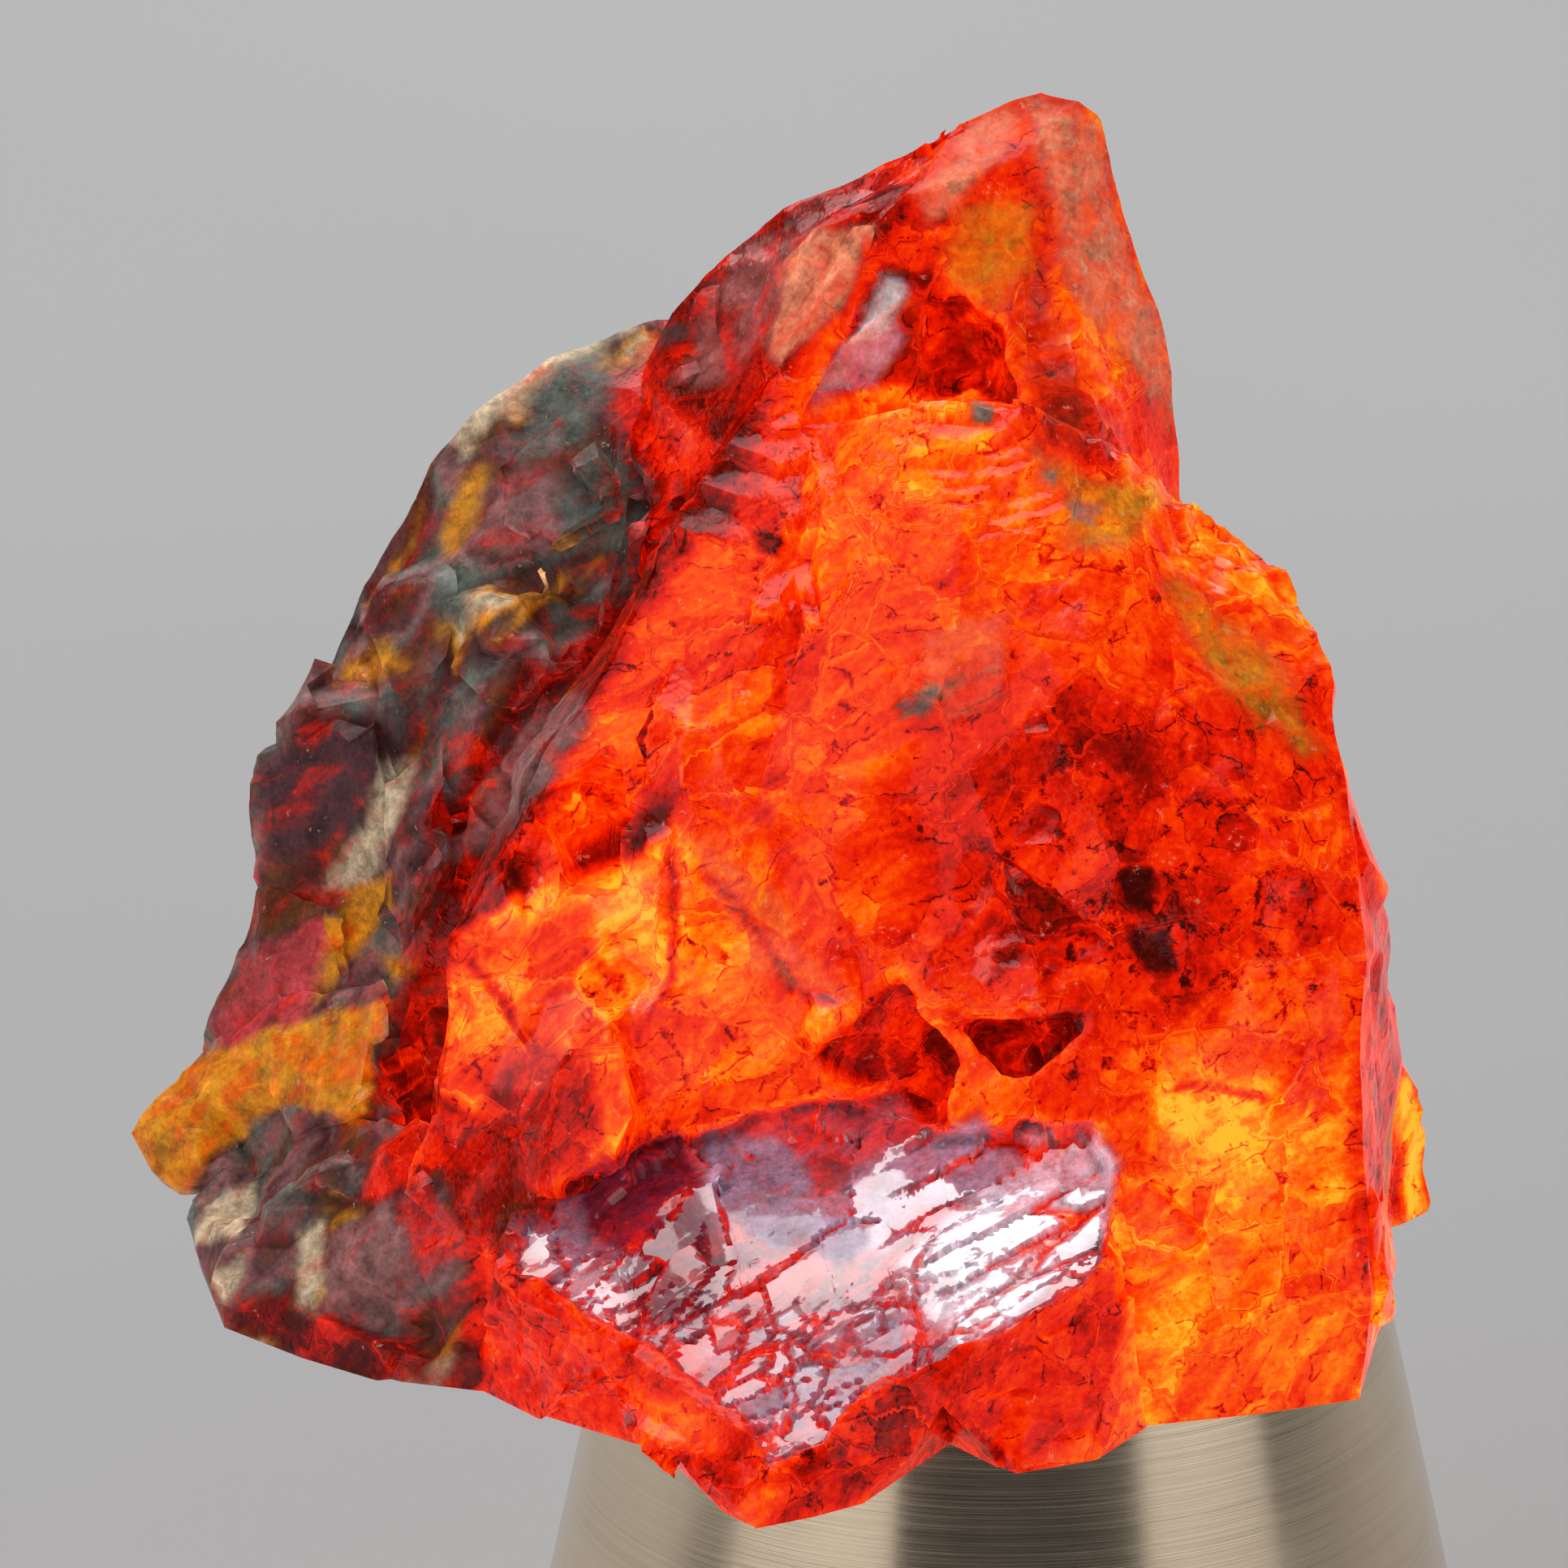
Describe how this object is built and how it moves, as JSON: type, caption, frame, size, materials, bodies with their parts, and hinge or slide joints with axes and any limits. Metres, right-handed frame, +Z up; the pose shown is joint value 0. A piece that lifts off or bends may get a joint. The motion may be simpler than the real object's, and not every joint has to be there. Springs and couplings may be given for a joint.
{
  "type": "sphalerite specimen on stand",
  "caption": "Rough translucent red-orange sphalerite crystal with a mottled weathered side, resting on a tapered brushed-steel stand",
  "frame": {"origin": "middle of the stand's flat foot, on the surface that it stands on", "axes": "+Z up along the stand's axis, +X to the viewer's right, -Y toward the viewer, facing the stone's bright cleavage ledge"},
  "size_m": [0.0395, 0.035, 0.054],
  "materials": {
    "sphalerite": "translucent resinous to adamantine cleavage faces, weathered and matte on the left side",
    "stand": "turned and brushed around its axis"
  },
  "bodies": {
    "root": {"sphalerite": "sphalerite", "stand": "stand"}
  },
  "joints": []
}
